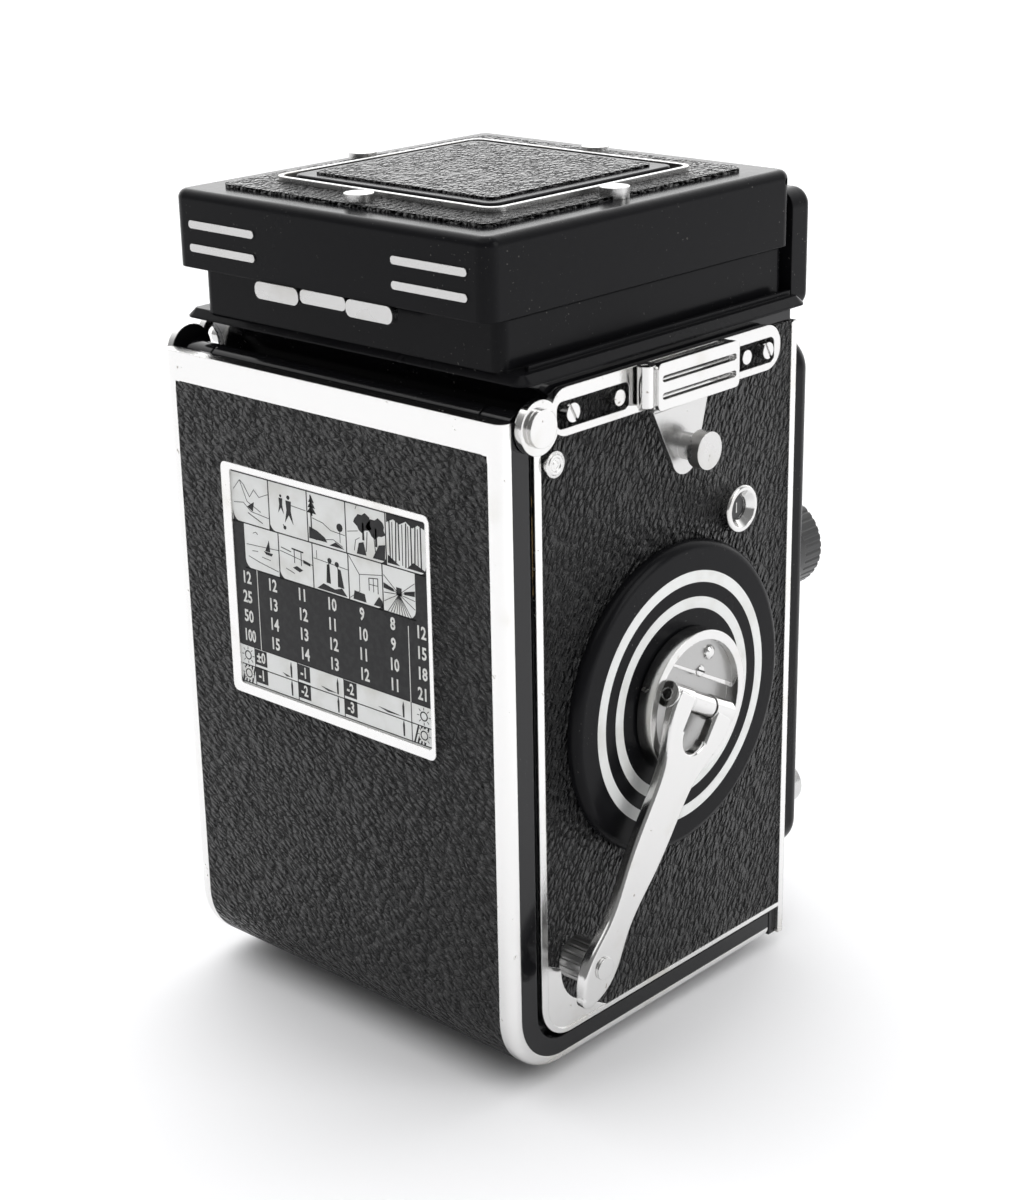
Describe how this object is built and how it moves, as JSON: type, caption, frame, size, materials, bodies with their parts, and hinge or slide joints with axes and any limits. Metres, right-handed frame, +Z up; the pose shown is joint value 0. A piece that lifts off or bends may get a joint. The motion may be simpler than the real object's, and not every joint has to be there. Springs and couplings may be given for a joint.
{
  "type": "twin lens reflex camera",
  "caption": "Twin lens reflex roll-film camera: leather-covered body, hinged back door, folding winding crank, focusing front standard and closed folding viewing hood.",
  "frame": {"origin": "mouth of the tripod thread on the underside, level with the feet; X = 0 in the middle of the width", "axes": "+Z up, -Y towards the lenses, +Y towards the back door, -X the crank side"},
  "size_m": [0.0957, 0.0966, 0.1441],
  "materials": {
    "black_paint": "satin black enamel on cast aluminium",
    "leather": "pebbled black leather covering",
    "chrome": "satin to bright chrome plate",
    "steel": "ground steel",
    "brass": "cut brass",
    "knob_black": "black knurled metal",
    "glass": "coated optical glass",
    "mirror": "front-silvered",
    "white_enamel": "white enamel",
    "spool_plastic": "moulded black",
    "foot_rubber": "matte black"
  },
  "bodies": {
    "body": {"body_casting": "black_paint", "body_pins": "steel", "side_covers": "black_paint", "side_leathers": "leather", "side_trims": "chrome", "counter_bezel": "chrome", "strap_plates": "chrome", "strap_screws": "chrome", "focusing_screen": "glass", "reflex_mirror": "mirror", "light_chamber": "black_paint", "film_gate": "black_paint", "crank_disc": "black_paint", "crank_disc_rings": "white_enamel", "hood_base": "black_paint", "nose_plate": "black_paint"},
    "crank_side_tongue": {"crank_side_strap_tongue": "chrome"},
    "focus_side_tongue": {"focus_side_strap_tongue": "chrome"},
    "lower_roller": {"lower_film_roller": "steel"},
    "upper_roller": {"upper_film_roller": "steel"},
    "supply_film_spool": {"supply_spool": "spool_plastic"},
    "takeup_film_spool": {"takeup_spool": "spool_plastic", "takeup_drive_gear": "brass"},
    "idler": {"idler_gear": "brass"},
    "crank": {"crank_gear": "brass", "crank_hub": "chrome"},
    "folding_arm": {"crank_arm": "chrome"},
    "arm_knob": {"crank_knob": "knob_black"},
    "supply_knob": {"supply_spool_knob": "knob_black"},
    "takeup_knob": {"takeup_spool_knob": "knob_black"},
    "focusing_knob": {"focus_knob": "knob_black"},
    "door": {"door_shell": "black_paint", "door_frame": "chrome", "door_leather": "leather", "exposure_table_frame": "chrome", "exposure_table": "white_enamel", "pressure_plate": "steel", "pressure_springs": "chrome", "tripod_bush": "chrome", "door_feet": "foot_rubber"},
    "latch": {"door_latch": "chrome"},
    "front_standard": {"lens_board": "black_paint", "lens_barrels": "knob_black", "bayonet_rings": "chrome", "lens_elements": "glass", "iris_blades": "steel", "sync_socket": "chrome"},
    "shutter_wheel": {"shutter_speed_wheel": "knob_black"},
    "stop_wheel": {"aperture_wheel": "knob_black"},
    "release": {"release_button": "chrome"},
    "timer": {"timer_lever": "chrome"},
    "lid": {"lid_shell": "black_paint", "lid_leather": "leather", "lid_fittings": "chrome", "finder_flap": "black_paint", "magnifier_frame": "black_paint", "magnifier_lens": "glass"},
    "crank_side_wall": {"crank_side_hood_wall": "black_paint"},
    "focus_side_wall": {"focus_side_hood_wall": "black_paint"},
    "rear_wall": {"rear_hood_wall": "black_paint"}
  },
  "joints": [
    {"name": "door_hinge", "type": "hinge", "parent": "body", "child": "door", "pos_m": [0, 0.0302, 0.113], "axis": [1, 0, 0], "range_deg": [0, 95]},
    {"name": "latch_turn", "type": "hinge", "parent": "door", "child": "latch", "pos_m": [0, -0.018, 0.0016], "axis": [0, 0, 1], "range_deg": [0, 60]},
    {"name": "crank_spin", "type": "hinge", "parent": "body", "child": "crank", "pos_m": [-0.041, -0.00465, 0.0596], "axis": [-1, 0, 0], "range_deg": [-110, 180]},
    {"name": "idler_spin", "type": "hinge", "parent": "body", "child": "idler", "pos_m": [-0.036, 0.00768, 0.0766], "axis": [-1, 0, 0], "range_deg": [-260, 160]},
    {"name": "takeup_spin", "type": "hinge", "parent": "body", "child": "takeup_film_spool", "pos_m": [0, 0.02, 0.0936], "axis": [-1, 0, 0], "range_deg": [-120, 190]},
    {"name": "crank_fold", "type": "hinge", "parent": "crank", "child": "folding_arm", "pos_m": [-0.0445, -0.0039, 0.0599], "axis": [0, 0.8796, 0.4756], "range_deg": [0, 150]},
    {"name": "arm_knob_spin", "type": "hinge", "parent": "folding_arm", "child": "arm_knob", "pos_m": [-0.042, 0.02268, 0.02236], "axis": [-1, 0, 0], "continuous": true},
    {"name": "supply_spin", "type": "hinge", "parent": "body", "child": "supply_film_spool", "pos_m": [0, -0.014, 0.0178], "axis": [1, 0, 0], "continuous": true},
    {"name": "lower_roller_spin", "type": "hinge", "parent": "body", "child": "lower_roller", "pos_m": [0, 0.028, 0.018], "axis": [1, 0, 0], "continuous": true},
    {"name": "upper_roller_spin", "type": "hinge", "parent": "body", "child": "upper_roller", "pos_m": [0, 0.028, 0.081], "axis": [1, 0, 0], "continuous": true},
    {"name": "supply_knob_pull", "type": "slide", "parent": "body", "child": "supply_knob", "axis": [1, 0, 0], "range_m": [0, 0.006]},
    {"name": "takeup_knob_pull", "type": "slide", "parent": "body", "child": "takeup_knob", "axis": [1, 0, 0], "range_m": [0, 0.006]},
    {"name": "focus_slide", "type": "slide", "parent": "body", "child": "front_standard", "axis": [0, -1, 0], "range_m": [0, 0.0065]},
    {"name": "focus_knob_turn", "type": "hinge", "parent": "body", "child": "focusing_knob", "pos_m": [0.042, -0.00465, 0.0596], "axis": [1, 0, 0], "range_deg": [-5, 285]},
    {"name": "shutter_wheel_turn", "type": "hinge", "parent": "front_standard", "child": "shutter_wheel", "pos_m": [-0.024, -0.052, 0.0708], "axis": [0, -1, 0], "range_deg": [0, 120]},
    {"name": "stop_wheel_turn", "type": "hinge", "parent": "front_standard", "child": "stop_wheel", "pos_m": [0.024, -0.052, 0.0708], "axis": [0, -1, 0], "range_deg": [0, 120]},
    {"name": "release_press", "type": "slide", "parent": "front_standard", "child": "release", "axis": [0, 1, 0], "range_m": [0, 0.0025], "stiffness_N_per_m": 400},
    {"name": "timer_swing", "type": "hinge", "parent": "front_standard", "child": "timer", "pos_m": [0.0225, -0.0495, 0.032], "axis": [0, -1, 0], "range_deg": [-35, 0]},
    {"name": "lid_hinge", "type": "hinge", "parent": "body", "child": "lid", "pos_m": [0, -0.0388, 0.1403], "axis": [1, 0, 0], "range_deg": [0, 90]},
    {"name": "crank_side_wall_fold", "type": "hinge", "parent": "body", "child": "crank_side_wall", "pos_m": [-0.0313, 0, 0.1297], "axis": [0, 1, 0], "range_deg": [-90, 0]},
    {"name": "focus_side_wall_fold", "type": "hinge", "parent": "body", "child": "focus_side_wall", "pos_m": [0.0313, 0, 0.1297], "axis": [0, 1, 0], "range_deg": [0, 90]},
    {"name": "rear_wall_fold", "type": "hinge", "parent": "body", "child": "rear_wall", "pos_m": [0, 0.028, 0.1311], "axis": [1, 0, 0], "range_deg": [-90, 0]},
    {"name": "crank_side_tongue_flex", "type": "hinge", "parent": "body", "child": "crank_side_tongue", "pos_m": [-0.0415, 0, 0.111], "axis": [0, 1, 0], "range_deg": [0, 4], "stiffness_Nm_per_rad": 0.2},
    {"name": "focus_side_tongue_flex", "type": "hinge", "parent": "body", "child": "focus_side_tongue", "pos_m": [0.0415, 0, 0.111], "axis": [0, 1, 0], "range_deg": [-4, 0], "stiffness_Nm_per_rad": 0.2}
  ],
  "couplings": [
    {"joint": "idler_spin", "follows": "crank_spin", "ratio": -1.3333},
    {"joint": "takeup_spin", "follows": "crank_spin", "ratio": 1},
    {"joint": "focus_knob_turn", "follows": "focus_slide", "rad_per_m": 751.83},
    {"joint": "crank_side_wall_fold", "follows": "lid_hinge", "ratio": -1},
    {"joint": "focus_side_wall_fold", "follows": "lid_hinge", "ratio": 1},
    {"joint": "rear_wall_fold", "follows": "lid_hinge", "ratio": -1}
  ]
}
